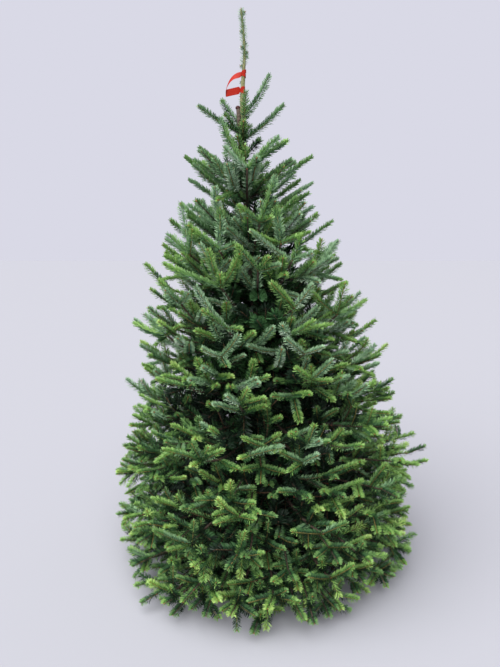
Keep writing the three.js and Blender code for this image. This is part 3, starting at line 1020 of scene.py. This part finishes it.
def makeTwigs(name, shoots, material):
    starts = column(shoots, "start")
    ends = column(shoots, "end")
    bends = column(shoots, "bend")
    ups = np.array([upFrom(shoot["heading"]) for shoot in shoots])
    sides = np.cross(unit(ends - starts), ups)
    ages = column(shoots, "age")
    count = twigs["sides"]
    spokes = np.arange(count) * 2 * math.pi / count
    ring = np.cos(spokes)[:, None] * ups[:, None] + np.sin(spokes)[:, None] * sides[:, None]
    rings = []
    for t in (0, 0.5, 1):
        middle = starts + (ends - starts) * t + bends * 4 * t * (1 - t)
        rings.append(middle[:, None] + ring * twigRadius(ages + twigs["footAge"] * (1 - t))[:, None, None])
    points = np.concatenate(rings, axis=1).reshape(-1, 3)
    pattern = list(range(count))
    for i in range(count):
        j = (i + 1) % count
        for low in (0, count):
            pattern += [i + low, i + low + count, j + low + count, j + low]
    pattern += reversed(range(2 * count, 3 * count))
    sizes = [count] + [4] * 2 * count + [count]
    corners = repeated(pattern, len(shoots), 3 * count)
    piece = pieceFromArrays(name, points, corners, np.tile(sizes, len(shoots)), material, smooth=True)
    settle(piece, "bark")


def scatter(name, model, shoots, sizes, material):  # copies of one small shape at the shoots' ends, joined
    places = column(shoots, "end")
    axes = column(shoots, "heading")
    points = np.array([v.co for v in model.verts])
    model.verts.index_update()
    faces = [[v.index for v in face.verts] for face in model.faces]
    model.free()
    isUpright = np.abs(axes[:, 2:]) > twigs["uprightFrom"]
    level = np.where(isUpright, [[1.0, 0, 0]], [[0, 0, 1.0]])
    over = unit(np.cross(axes, level))
    frames = np.stack([np.cross(over, axes), over, axes], axis=1) * np.array(sizes)[:, None, None]
    moved = np.einsum("pk,nkc->npc", points, frames) + places[:, None]
    corners = repeated([i for face in faces for i in face], len(places), len(points))
    faceSizes = np.tile([len(face) for face in faces], len(places))
    settle(pieceFromArrays(name, moved.reshape(-1, 3), corners, faceSizes, material, smooth=True), "bark")


def budCluster():  # one end bud and two side buds
    bm = bmesh.new()
    for lean in (-1, 0, 1):
        size = budShape["length"] * (1 if lean == 0 else budShape["side"])
        cone = bmesh.ops.create_cone(bm, cap_ends=False, segments=4, depth=size,
                                     radius1=budShape["radius"], radius2=0)
        bmesh.ops.translate(bm, verts=cone["verts"], vec=(0, 0, size / 2))
        turn = Matrix.Rotation(math.radians(budShape["lean"] * lean), 3, "X")
        bmesh.ops.rotate(bm, verts=cone["verts"], matrix=turn)
    return bm


def makeBuds(shoots, rng):
    ends = [shoot for shoot in shoots if shoot["age"] == 0]
    larger = [float(np.interp(shoot["end"].z, *budShape["larger"])) for shoot in ends]
    sizes = [rng.uniform(*budShape["spread"]) * times for times in larger]
    scatter("winter_buds", budCluster(), ends, sizes, barks["bud resin orange"])


def makeKnuckles(shoots, rng):
    forks = [shoot for shoot in shoots if 1 <= shoot["age"] <= knuckle["oldest"]]
    bm = bmesh.new()
    bmesh.ops.create_icosphere(bm, subdivisions=1, radius=knuckle["radius"])
    sizes = [rng.uniform(*knuckle["spread"]) + knuckle["perYear"] * shoot["age"] for shoot in forks]
    scatter("fork_knuckles", bm, forks, sizes, barks["bud scale red"])


# Trunk, boughs and leader, as limbs drawn out ring by ring and then roughened with the relief of their bark
trunkShape = {"sides": 40, "gap": 0.009, "relief": 0.0022, "grain": 0.03, "upright": 0.6, "rough": (1, 2, 3),
              "lobes": 5, "lobeHeight": 0.08, "lobeDepth": 0.005}
stubShape = {"segments": (20, 12), "stouter": 1.35, "flat": 0.8, "grain": 0.005, "relief": 0.0009,
             "sunk": 0.003}
boughShape = {"sides": 8, "gap": 0.022, "footShare": 0.36, "tipRadius": 0.0018, "forkRadius": 0.0042,
              "relief": 0.0008, "grain": 0.02, "collar": 0.5, "collarLength": 0.016, "taper": 0.85,
              "rootBelow": 0.01, "leastTaper": 1.2, "pastBare": 0.6}
bareStem = {"rootBelow": 0.03, "stouter": 1.1, "sag": 0.008, "forkShare": 0.66}
leaderShape = {"sides": 14, "gap": 0.008, "relief": 0.0004, "grain": 0.012, "stouter": (1.6, 1.15),
               "stoutHeights": (2.20, 2.34)}


def drawLimb(bm, line, radii, sides, push):
    ahead = [(line[min(i + 1, len(line) - 1)] - line[max(i - 1, 0)]).normalized() for i in range(len(line))]
    turn = worldUp.rotation_difference(ahead[0])
    frames = []
    for i, (middle, radius) in enumerate(zip(line, radii)):
        if i > 0:
            turn = ahead[i - 1].rotation_difference(ahead[i]) @ turn
        size = Matrix.Diagonal((radius, radius, 1, 1))
        frames.append(Matrix.Translation(middle) @ turn.to_matrix().to_4x4() @ size)
    ring = bmesh.ops.create_circle(bm, cap_ends=True, segments=sides, radius=1, matrix=frames[0])["verts"]
    edges = list(ring[0].link_faces[0].edges)
    rings = [ring]
    for before, after in zip(frames, frames[1:]):
        drawn = bmesh.ops.extrude_edge_only(bm, edges=edges)["geom"]
        edges = [item for item in drawn if isinstance(item, bmesh.types.BMEdge)]
        ring = [item for item in drawn if isinstance(item, bmesh.types.BMVert)]
        bmesh.ops.transform(bm, verts=ring, matrix=after @ before.inverted())
        rings.append(ring)
    bmesh.ops.contextual_create(bm, geom=edges)
    for middle, ring in zip(line, rings):
        for vertex in ring:
            out = (vertex.co - middle).normalized()
            vertex.co += out * push(vertex.co, out)


def barkRelief(shape):
    return lambda point, out: noise.noise(point / shape["grain"]) * shape["relief"]


def settleLimb(name, bm, bark, slot, *replaced):
    bmesh.ops.recalc_face_normals(bm, faces=bm.faces)
    settle(newPiece(name, bm, barks[bark], smooth=True), slot, *replaced)


def evenLine(points, gap):  # the same line, smoothed, with a point every gap
    path = np.array(points)
    near, far = 0.75, 0.25  # shares of a stretch's two ends, where its corners are cut off
    for _ in range(2):  # cuts each corner twice, so that the line bends smoothly
        cut = np.empty((2 * len(path) - 2, 3))
        cut[0::2] = path[:-1] * near + path[1:] * far
        cut[1::2] = path[:-1] * far + path[1:] * near
        path = np.concatenate([path[:1], cut, path[-1:]])
    steps = np.linalg.norm(np.diff(path, axis=0), axis=1)
    run = np.concatenate([[0], np.cumsum(steps)])
    stops = np.linspace(0, run[-1], max(3, round(run[-1] / gap)))
    return [Vector([float(np.interp(stop, run, path[:, axis])) for axis in range(3)]) for stop in stops]


def makeTrunk():
    top = float(trunkRings[-1, 2])
    line = [trunkAt(z) for z in np.linspace(0, top, round(top / trunkShape["gap"]))]
    radii = [trunkRadiusAt(middle.z) for middle in line]

    def push(point, out):
        place = Vector((point.x, point.y, point.z * trunkShape["upright"])) / trunkShape["grain"]
        rough = noise.fractal(place, *trunkShape["rough"])
        turn = math.atan2(out.y, out.x)
        lobe = math.cos(turn * trunkShape["lobes"]) - 1
        foot = math.exp(-point.z / trunkShape["lobeHeight"])
        return rough * trunkShape["relief"] + lobe * foot * trunkShape["lobeDepth"]

    bm = bmesh.new()
    drawLimb(bm, line, radii, trunkShape["sides"], push)
    for vertex in bm.verts:  # the lowest ring lies flat on the ground
        if vertex.co.z < trunkShape["gap"] / 2:
            vertex.co.z = 0
    settleLimb("trunk_bark", bm, "fir bark grey", "bark", "trunk")
    return line[-1], radii[-1]


def makeStubEnd(middle, radius):  # the callus that closed over the old cut
    bm = bmesh.new()
    across, along = stubShape["segments"]
    bmesh.ops.create_uvsphere(bm, u_segments=across, v_segments=along, radius=radius * stubShape["stouter"])
    bmesh.ops.scale(bm, verts=bm.verts, vec=(1, 1, stubShape["flat"]))
    for vertex in bm.verts:
        rough = noise.noise(vertex.co / stubShape["grain"])
        vertex.co += vertex.co.normalized() * rough * stubShape["relief"]
    bmesh.ops.translate(bm, verts=bm.verts, vec=middle - worldUp * stubShape["sunk"])
    settle(newPiece("stub_callus", bm, barks["healed stub callus"], smooth=True), "bark")


def makeBoughs(boughs):
    bm = bmesh.new()
    part = bpy.data.meshes.new("part")

    def draw(points, footRadius, tipRadius, fromTrunk):
        line = evenLine(points, boughShape["gap"])
        radii = []
        for i, middle in enumerate(line):
            share = i / (len(line) - 1)
            radius = footRadius + (tipRadius - footRadius) * share ** boughShape["taper"]
            if fromTrunk:
                bark = trunkRadiusAt(line[0].z)
                off = max(0, (middle - line[0]).length - bark)
                radius += footRadius * boughShape["collar"] * math.exp(-off / boughShape["collarLength"])
            radii.append(radius)
        limb = bmesh.new()
        drawLimb(limb, line, radii, boughShape["sides"], barkRelief(boughShape))
        limb.to_mesh(part)
        limb.free()
        bm.from_mesh(part)

    stems = {}  # the bare stretch of each mass that has one, drawn once up to where its boughs fork
    for bough in boughs:
        if not bough["shoots"]:
            continue
        points = [bough["foot"]] + [shoot["end"] for shoot in bough["shoots"]]
        footZ = bough["foot"].z
        footRadius = trunkRadiusAt(footZ) * boughShape["footShare"]
        if bough["kind"] == "bare":
            stems.setdefault(bough["mass"].name, (bough["mass"], bough["foot"]))
            draw(points, footRadius * boughShape["pastBare"], boughShape["tipRadius"], False)
        else:
            root = trunkAt(footZ - boughShape["rootBelow"])
            tipRadius = boughShape["tipRadius"]
            if bough["kind"] == "small":
                footRadius *= trunkShoots["footShare"] / boughShape["footShare"]
            if bough["kind"] == "fork":
                tipRadius = boughShape["forkRadius"]
            footRadius = max(footRadius, tipRadius * boughShape["leastTaper"])
            draw([root] + points, footRadius, tipRadius, True)
    for mass, fork in stems.values():
        drop = (mass.tip - mass.foot) * (mass.inner / mass.reach)
        root = trunkAt(fork.z - abs(drop) - bareStem["rootBelow"])
        footRadius = trunkRadiusAt(root.z) * boughShape["footShare"] * bareStem["stouter"]
        sagging = root.lerp(fork, 0.5) - worldUp * bareStem["sag"]
        draw([root, sagging, fork], footRadius, footRadius * bareStem["forkShare"], True)
    settleLimb("boughs_bark", bm, "fir bark reddish", "bark", *boughNames)


# The leader, its short needles and the six shoots of the top ring
leaderNeedles = {"fill": 0.85, "size": 0.66, "above": 0.006, "stem": 0.0055,
                 "stretches": ((2.03, 2.165), (2.285, 2.37), (2.37, 2.44), (2.44, 2.512)),
                 "last": {"from": 2.5, "fill": 1.6, "closing": 0.8}}
ringNeedles = {"fill": 1.1, "size": 0.96, "points": 7, "footBelow": 0.004, "tipPast": 0.2}
trunkNeedles = {"from": 1.72, "to": 1.99, "stretches": 4, "fill": 0.6, "size": 0.66}
# Side buds of the leader, each in its tuft of needles: height, turn round the stem
tufts = {"places": ((2.487, 340), (2.412, 190), (2.349, 200), (2.328, 350), (2.312, 20), (2.273, 185),
                    (2.44, 90), (2.37, 80), (2.21, 110)),
         "out": 0.004, "length": 0.013, "fill": 2.0, "size": 0.5, "rise": 0.9}


def middleLine(name, count):  # points along the middle of a limb, from the trunk outwards
    points = cornersOf(name)
    away = np.hypot(*(points[:, :2] - [trunkAt(z)[:2] for z in points[:, 2]]).T)
    foot = points[away.argmin()]
    tip = points[np.linalg.norm(points - foot, axis=1).argmax()]
    share = (points - foot) @ (tip - foot) / ((tip - foot) @ (tip - foot))
    slots = np.clip((share * count).astype(int), 0, count - 1)
    return [Vector(points[slots == i].mean(axis=0)) for i in range(count) if (slots == i).any()]


def looseShoot(start, end, node, **extra):
    heading = (end - start).normalized()
    return {"start": start, "end": end, "heading": heading, "age": 0, "node": node,
            "bend": Vector((0, 0, 0)), **extra}


def makeLeader():
    line = [Vector([float(c) for c in ring[:3]]) for ring in leaderRings]
    line[-1] = line[-1] - worldUp * leaderNeedles["above"]
    smooth = evenLine(line, leaderShape["gap"])
    radii = []
    for middle in smooth:
        stouter = float(np.interp(middle.z, leaderShape["stoutHeights"], leaderShape["stouter"]))
        radii.append(ringValue(leaderRings, 3, middle.z) * stouter)
    bm = bmesh.new()
    drawLimb(bm, smooth, radii, leaderShape["sides"], barkRelief(leaderShape))
    settleLimb("leader_stem", bm, "leader skin green", "green_stem", "leader")
    sprigs = []
    last = leaderNeedles["last"]
    for low, high in leaderNeedles["stretches"]:
        isLast = high > last["from"]
        fill = leaderNeedles["fill"] * (last["fill"] if isLast else 1)
        sprigs.append(looseShoot(leaderAt(low), leaderAt(high), "leader", spray="leader", fill=fill,
                                 size=leaderNeedles["size"], closing=last["closing"] if isLast else 0,
                                 stem=leaderNeedles["stem"]))
    for height, degrees in tufts["places"]:
        out = levelWay(math.radians(degrees), tufts["rise"]).normalized()
        foot = leaderAt(height) + out * tufts["out"]
        sprigs.insert(0, looseShoot(foot, foot + out * tufts["length"], "leader", spray="leader",
                                    fill=tufts["fill"], size=tufts["size"]))
    return sprigs


def topRing():
    sprigs = []
    for name in topShootNames:
        line = middleLine(name, ringNeedles["points"])
        start = trunkAt(line[0].z - ringNeedles["footBelow"])
        end = line[-1] + (line[-1] - line[-2]) * ringNeedles["tipPast"]
        bend = line[len(line) // 2] - (start + end) / 2
        sprigs.append(looseShoot(start, end, name, spray="ring", fill=ringNeedles["fill"],
                                 size=ringNeedles["size"], bend=bend))
    return sprigs


def trunkSprays():  # short needles that the youngest part of the trunk still carries
    stops = np.linspace(trunkNeedles["from"], trunkNeedles["to"], trunkNeedles["stretches"] + 1)
    return [looseShoot(trunkAt(low), trunkAt(high), "trunk", spray="ring", fill=trunkNeedles["fill"],
                       size=trunkNeedles["size"], closing=0, stem=trunkRadiusAt(low))
            for low, high in zip(stops, stops[1:])]


# The red tape, as thin glossy film: three wraps round the leader, two above and one below, and the loop
# between them. A wrap's row is its height from the middle of the upper two, its width and its slant. A row of
# the loop is a place from that middle, the way its width lies, and its width
tape = {
    "height": 2.254, "thick": 0.00035, "across": 6, "slack": 0.0015, "smooth": 2,
    "wraps": ((0.0095, 0.016, 0.5), (-0.0085, 0.016, -0.4), (-0.068, 0.031, 0.15)), "steps": 22,
    "slantHeight": 0.006, "pleats": 5, "pleatDepth": 0.1,
    "knotPower": 6, "knotRise": 0.3, "knotNarrowing": 0.55,
    "loop": (
        ((-0.009, -0.003, -0.002), (0, 0.1, 1), 0.018),
        ((-0.015, -0.004, -0.005), (0, 0.2, 1), 0.026),
        ((-0.032, -0.004, -0.009), (-0.25, 0.5, 0.9), 0.030),
        ((-0.050, -0.004, -0.019), (-0.4, 0.9, 0.6), 0.030),
        ((-0.066, -0.003, -0.038), (-0.25, 0.95, 0.3), 0.030),
        ((-0.076, -0.002, -0.060), (-0.15, 1, 0.12), 0.030),
        ((-0.080, -0.001, -0.080), (-0.08, 1, 0.06), 0.029),
        ((-0.0795, -0.005, -0.083), (0, 0.6, 0.8), 0.030),
        ((-0.0780, -0.009, -0.083), (0, 0.1, 1), 0.031),
        ((-0.0760, -0.010, -0.083), (0, 0, 1), 0.031),
        ((-0.045, -0.010, -0.076), (0.02, 0, 1), 0.031),
        ((-0.021, -0.009, -0.071), (0.02, 0, 1), 0.032),
        ((-0.0185, -0.008, -0.070), (0.02, 0, 1), 0.030),
        ((-0.0145, -0.007, -0.069), (0, 0, 1), 0.012),
        ((-0.012, -0.007, -0.069), (0, 0, 1), 0.014),
        ((-0.008, -0.006, -0.068), (0, 0, 1), 0.024),
    ),
}


def ribbon(bm, sections):  # a flat band drawn out from section to section
    count = tape["across"]
    first = [bm.verts.new((0, 0, 0)) for _ in range(count + 1)]
    edges = [bm.edges.new(pair) for pair in zip(first, first[1:])]
    row = first
    for i, (middle, way, width) in enumerate(sections):
        if i > 0:
            drawn = bmesh.ops.extrude_edge_only(bm, edges=edges)["geom"]
            edges = [item for item in drawn if isinstance(item, bmesh.types.BMEdge)]
            row = [next(e.other_vert(v) for e in v.link_edges if e.other_vert(v) in drawn) for v in row]
        for j, vertex in enumerate(row):
            vertex.co = middle + way * width * (j / count - 0.5)


def makeTape():
    stem = leaderAt(tape["height"])
    radius = ringValue(leaderRings, 3, tape["height"]) * leaderShape["stouter"][0]
    bm = bmesh.new()
    loop = [(stem + Vector(place), Vector(way).normalized(), width) for place, way, width in tape["loop"]]
    ribbon(bm, loop)
    lowest = tape["wraps"][-1][0]
    for rise, width, slant in tape["wraps"]:
        knotRise = rise * tape["knotRise"] if rise > lowest else rise  # the upper two draw together there
        wrap = []
        for i in range(tape["steps"] + 1):
            turn = math.pi + 2 * math.pi * i / tape["steps"]
            nearKnot = abs(math.cos(turn / 2 - math.pi / 2)) ** tape["knotPower"]
            pleat = 1 + tape["pleatDepth"] * math.sin(turn * tape["pleats"])
            out = levelWay(turn) * (radius + tape["slack"]) * pleat
            height = rise * (1 - nearKnot) + knotRise * nearKnot
            lift = height + slant * tape["slantHeight"] * math.sin(turn)
            wrapWidth = width * (1 - tape["knotNarrowing"] * nearKnot)
            wrap.append((leaderAt(tape["height"] + lift) + out, worldUp, wrapWidth))
        ribbon(bm, wrap)
    bmesh.ops.recalc_face_normals(bm, faces=bm.faces)
    piece = newPiece("marking_tape", bm, tapeMaterial(), smooth=True)
    shell = piece.modifiers.new("film", "SOLIDIFY")
    shell.thickness = tape["thick"]
    smoother = piece.modifiers.new("smooth", "SUBSURF")
    smoother.levels = smoother.render_levels = tape["smooth"]
    settle(piece, "marking_tape")


def tapeMaterial():  # dyed polythene film: even red, soft gloss, faint stretch lines along its length
    film = {"Base Color": linearColour("#b0200a"), "Roughness": 0.5, "Specular IOR Level": 0.2}
    material, tree, shader = newMaterial("polythene tape red", film)
    place = addNode(tree, "ShaderNodeTexCoord")
    lines = addNode(tree, "ShaderNodeTexNoise", {"Scale": 1 / 0.004, "Detail": 2},
                    {"Vector": place.outputs["Object"]})
    bump = addNode(tree, "ShaderNodeBump", {"Strength": 0.25, "Distance": 0.0004},
                   {"Height": lines.outputs["Fac"]})
    tree.links.new(bump.outputs["Normal"], shader.inputs["Normal"])
    return material


rng = random.Random(growth["seed"] + 1)
for shoot in shoots:
    length = (shoot["end"] - shoot["start"]).length
    shoot["bend"] = upFrom(shoot["heading"]) * length * rng.uniform(*twigs["bend"])
makeStubEnd(*makeTrunk())
makeBoughs(boughs)
print("wood: trunk and boughs", len(boughs))
leaderShoots = makeLeader()
ringShoots = topRing()
makeTape()
print("top: leader, ring shoots and tape")
twigShoots = [shoot for shoot in shoots if shoot["order"] > 0 or shoot["age"] == 0] + ringShoots
# this year's twigs deep in the crown get the old twigs' dark brown bark instead of olive: painted shade
young = [shoot for shoot in twigShoots if shoot["age"] == 0 and ("spray" in shoot or not isShaded(shoot))]
makeTwigs("young_twigs", young, barks["twig bark olive"])
makeTwigs("old_twigs", [shoot for shoot in twigShoots if shoot not in young], barks["twig bark brown"])
makeKnuckles(shoots, rng)
makeBuds(young + leaderShoots[:len(tufts["places"])] + leaderShoots[-1:], rng)
print("twigs: made", len(twigShoots))
makeNeedles(shoots + ringShoots + leaderShoots + trunkSprays(), rng)
